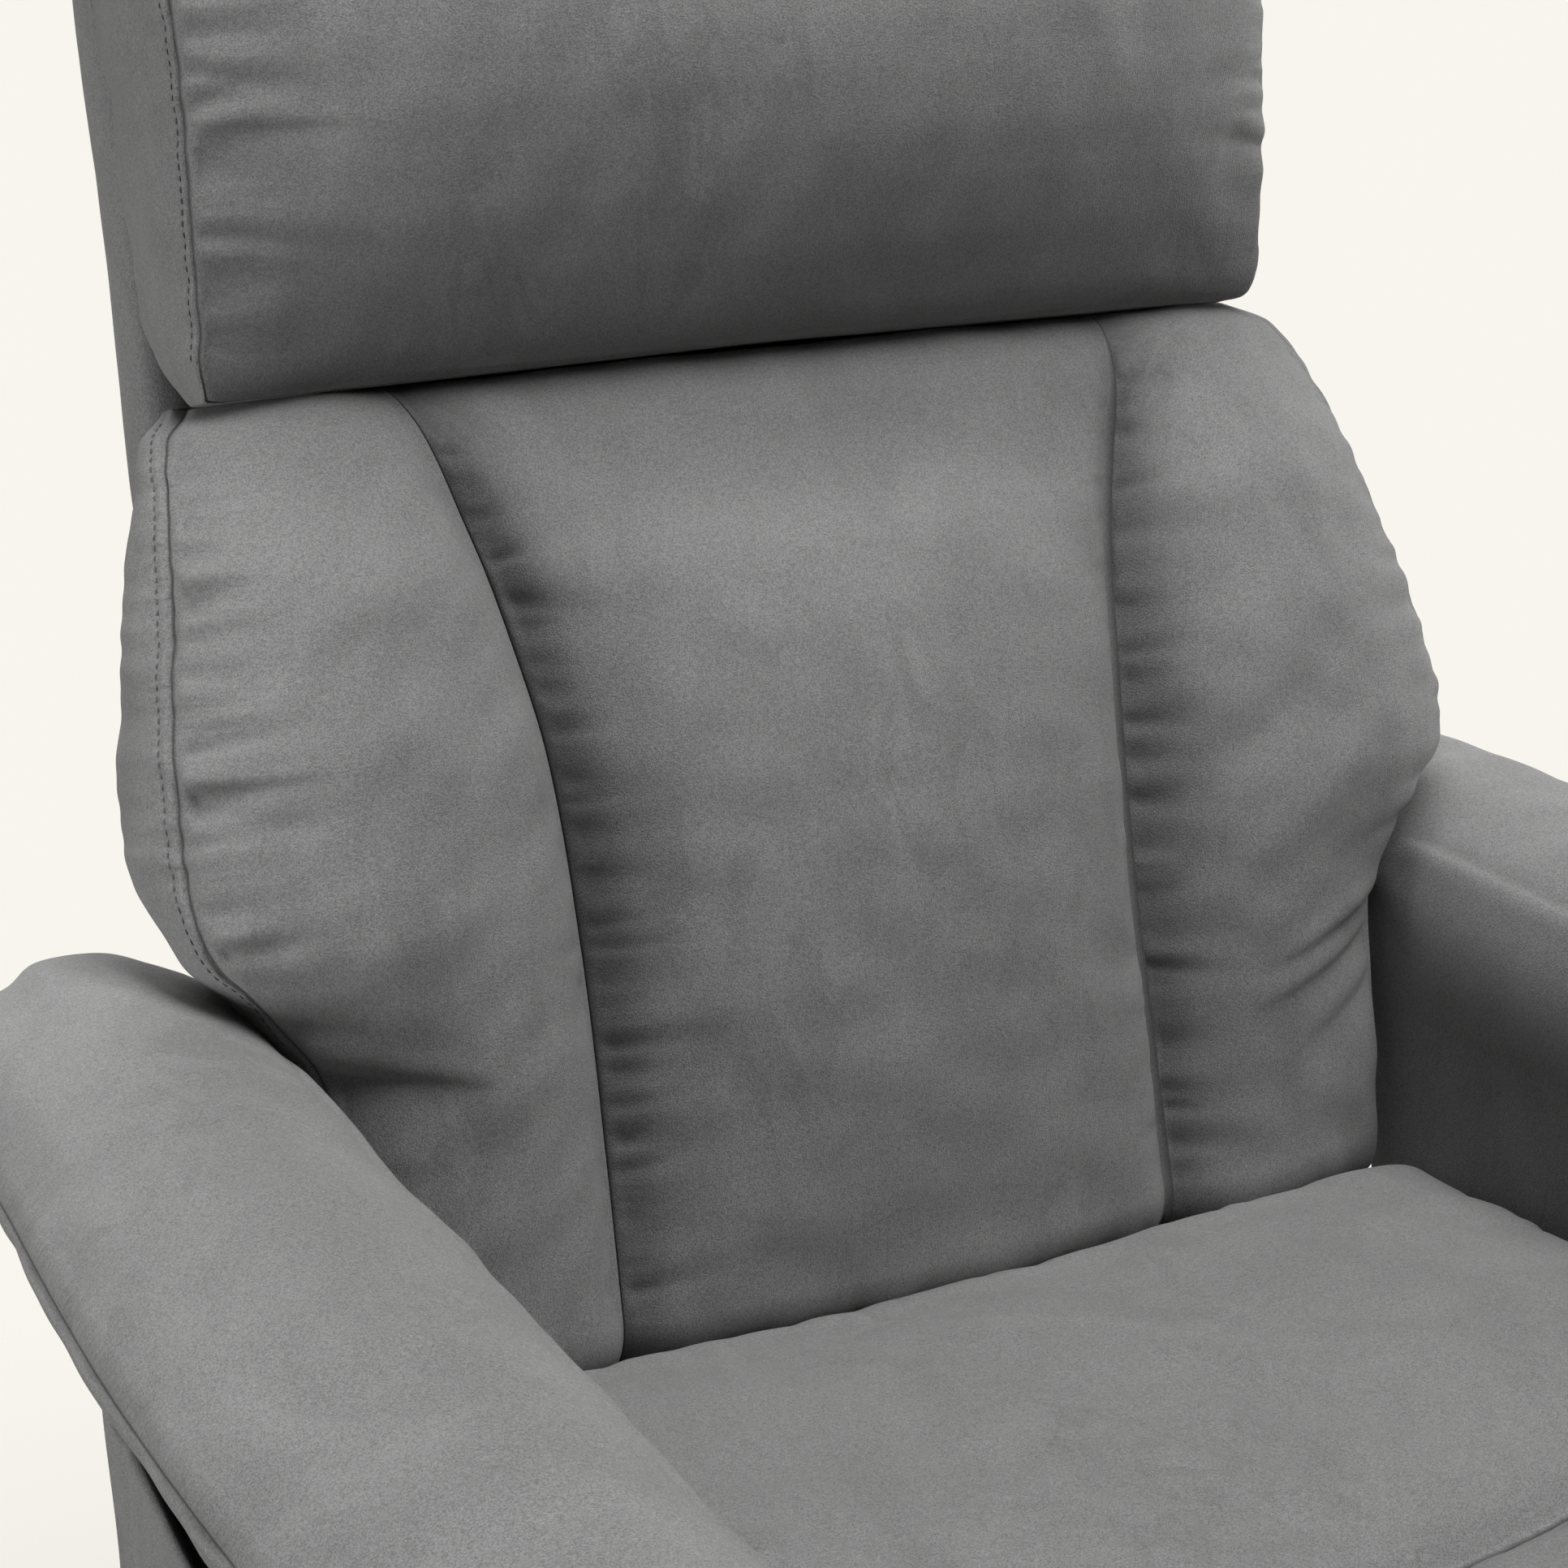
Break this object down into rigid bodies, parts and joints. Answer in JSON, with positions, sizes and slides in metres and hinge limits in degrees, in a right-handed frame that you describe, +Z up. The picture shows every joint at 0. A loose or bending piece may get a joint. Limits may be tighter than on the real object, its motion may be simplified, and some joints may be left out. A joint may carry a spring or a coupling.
{
  "type": "swivel riser recliner",
  "caption": "Padded wing back armchair on a round swivel base, with a lift linkage under the seat, a reclining back and a leg rest that swings out.",
  "frame": {"origin": "on the floor, on the swivel axis", "axes": "+Z up along the swivel axis, the chair faces -Y, +X to the viewer's right"},
  "size_m": [0.7836, 0.864, 1.0895],
  "materials": {
    "suede": "matte brushed faux suede",
    "plywood": "sanded birch plywood",
    "plastic": "fine textured black",
    "bearing": "ground steel",
    "zinc": "zinc plated",
    "brass": "pressed brass",
    "rubber": "matte black",
    "painted_steel": "black powder coat"
  },
  "bodies": {
    "base": {"floor_pad": "rubber", "base_plate": "painted_steel", "lower_race": "bearing"},
    "swivel_frame": {"ball_retainer": "brass", "upper_race": "bearing", "turntable_plate": "painted_steel", "lower_rail_left": "painted_steel", "lower_rail_right": "painted_steel", "lift_bracket_left": "painted_steel", "lift_bracket_right": "painted_steel", "lower_front_tube": "painted_steel", "lower_rear_tube": "painted_steel", "control_box": "plastic"},
    "lift_arms": {"lift_arm_left": "painted_steel", "lift_arm_right": "painted_steel", "lift_cross_tube": "painted_steel"},
    "control_links": {"control_link_left": "painted_steel", "control_link_right": "painted_steel"},
    "chassis": {"side_rail_left": "painted_steel", "side_rail_right": "painted_steel", "side_plate_left": "painted_steel", "side_plate_right": "painted_steel", "rear_spring_rail": "painted_steel", "front_rail": "painted_steel", "seat_spring": "zinc", "seat_cushion": "suede", "arm_frame_left": "plywood", "arm_frame_right": "plywood", "arm_pad_left": "suede", "arm_pad_right": "suede", "side_panel_left": "suede", "side_panel_right": "suede", "leg_gear_motor": "plastic"},
    "lift_motor": {"lift_motor": "plastic"},
    "lift_rod": {"lift_rod": "zinc"},
    "back": {"back_post_left": "painted_steel", "back_post_right": "painted_steel", "back_lower_rail": "painted_steel", "back_upper_rail": "painted_steel", "back_centre_cushion": "suede", "back_wing_left": "suede", "back_wing_right": "suede", "headrest_cushion": "suede", "back_shell": "suede"},
    "back_motor": {"back_motor": "plastic"},
    "back_rod": {"back_rod": "zinc"},
    "leg_cranks": {"leg_drive_tube": "zinc", "leg_crank_left": "zinc", "leg_crank_right": "zinc"},
    "leg_guides": {"leg_guide_left": "zinc", "leg_guide_right": "zinc"},
    "leg_carriers": {"leg_carrier_left": "zinc", "leg_carrier_right": "zinc"},
    "leg_tilt_rods": {"leg_tilt_rod_left": "zinc", "leg_tilt_rod_right": "zinc"},
    "leg_pad": {"leg_bracket_left": "zinc", "leg_bracket_right": "zinc", "leg_rest_board": "plywood", "leg_rest_cushion": "suede"}
  },
  "joints": [
    {"name": "swivel", "type": "hinge", "parent": "base", "child": "swivel_frame", "pos_m": [0, 0, 0], "axis": [0, 0, 1], "continuous": true},
    {"name": "lift", "type": "hinge", "parent": "swivel_frame", "child": "lift_arms", "pos_m": [0, -0.2064, 0.1253], "axis": [1, 0, 0], "range_deg": [0, 50]},
    {"name": "seat_tilt", "type": "hinge", "parent": "lift_arms", "child": "chassis", "pos_m": [0, 0.0823, 0.1942], "axis": [1, 0, 0], "range_deg": [-31.64, 0]},
    {"name": "control_link", "type": "hinge", "parent": "swivel_frame", "child": "control_links", "pos_m": [0, -0.161, 0.1591], "axis": [1, 0, 0], "range_deg": [0, 45.04]},
    {"name": "lift_motor_pivot", "type": "hinge", "parent": "chassis", "child": "lift_motor", "pos_m": [0, -0.14, 0.297], "axis": [1, 0, 0], "range_deg": [0, 5.71]},
    {"name": "lift_rod_pivot", "type": "hinge", "parent": "lift_arms", "child": "lift_rod", "pos_m": [0, 0.0382, 0.106], "axis": [1, 0, 0], "range_deg": [-25.95, 0]},
    {"name": "recline", "type": "hinge", "parent": "chassis", "child": "back", "pos_m": [0, 0.225, 0.36], "axis": [-1, 0, 0], "range_deg": [0, 40]},
    {"name": "back_motor_pivot", "type": "hinge", "parent": "chassis", "child": "back_motor", "pos_m": [-0.075, -0.2, 0.215], "axis": [1, 0, 0], "range_deg": [0, 1.12]},
    {"name": "back_rod_pivot", "type": "hinge", "parent": "back", "child": "back_rod", "pos_m": [-0.075, 0.2445, 0.295], "axis": [1, 0, 0], "range_deg": [0, 41.12]},
    {"name": "leg_rest", "type": "hinge", "parent": "chassis", "child": "leg_cranks", "pos_m": [0, -0.05, 0.285], "axis": [-1, 0, 0], "range_deg": [0, 92]},
    {"name": "leg_guide", "type": "hinge", "parent": "chassis", "child": "leg_guides", "pos_m": [0, -0.0059, 0.2574], "axis": [-1, 0, 0], "range_deg": [0, 92]},
    {"name": "leg_carrier", "type": "hinge", "parent": "leg_cranks", "child": "leg_carriers", "pos_m": [0, -0.0125, 0.1346], "axis": [-1, 0, 0], "range_deg": [-92, 0]},
    {"name": "leg_tilt", "type": "hinge", "parent": "leg_cranks", "child": "leg_tilt_rods", "pos_m": [0, -0.00103, 0.10473], "axis": [-1, 0, 0], "range_deg": [-92, 0]},
    {"name": "leg_pad_tilt", "type": "hinge", "parent": "leg_carriers", "child": "leg_pad", "pos_m": [0, -0.2825, 0.2246], "axis": [-1, 0, 0], "range_deg": [0, 92]}
  ],
  "couplings": [
    {"joint": "seat_tilt", "follows": "lift", "ratio": -0.6329},
    {"joint": "control_link", "follows": "lift", "ratio": 0.9008},
    {"joint": "lift_motor_pivot", "follows": "lift", "ratio": 0.1141},
    {"joint": "lift_rod_pivot", "follows": "lift", "ratio": -0.5189},
    {"joint": "back_motor_pivot", "follows": "recline", "ratio": 0.0279},
    {"joint": "back_rod_pivot", "follows": "recline", "ratio": 1.0279},
    {"joint": "leg_guide", "follows": "leg_rest", "ratio": 1},
    {"joint": "leg_carrier", "follows": "leg_rest", "ratio": -1},
    {"joint": "leg_tilt", "follows": "leg_rest", "ratio": -1},
    {"joint": "leg_pad_tilt", "follows": "leg_rest", "ratio": 1}
  ]
}
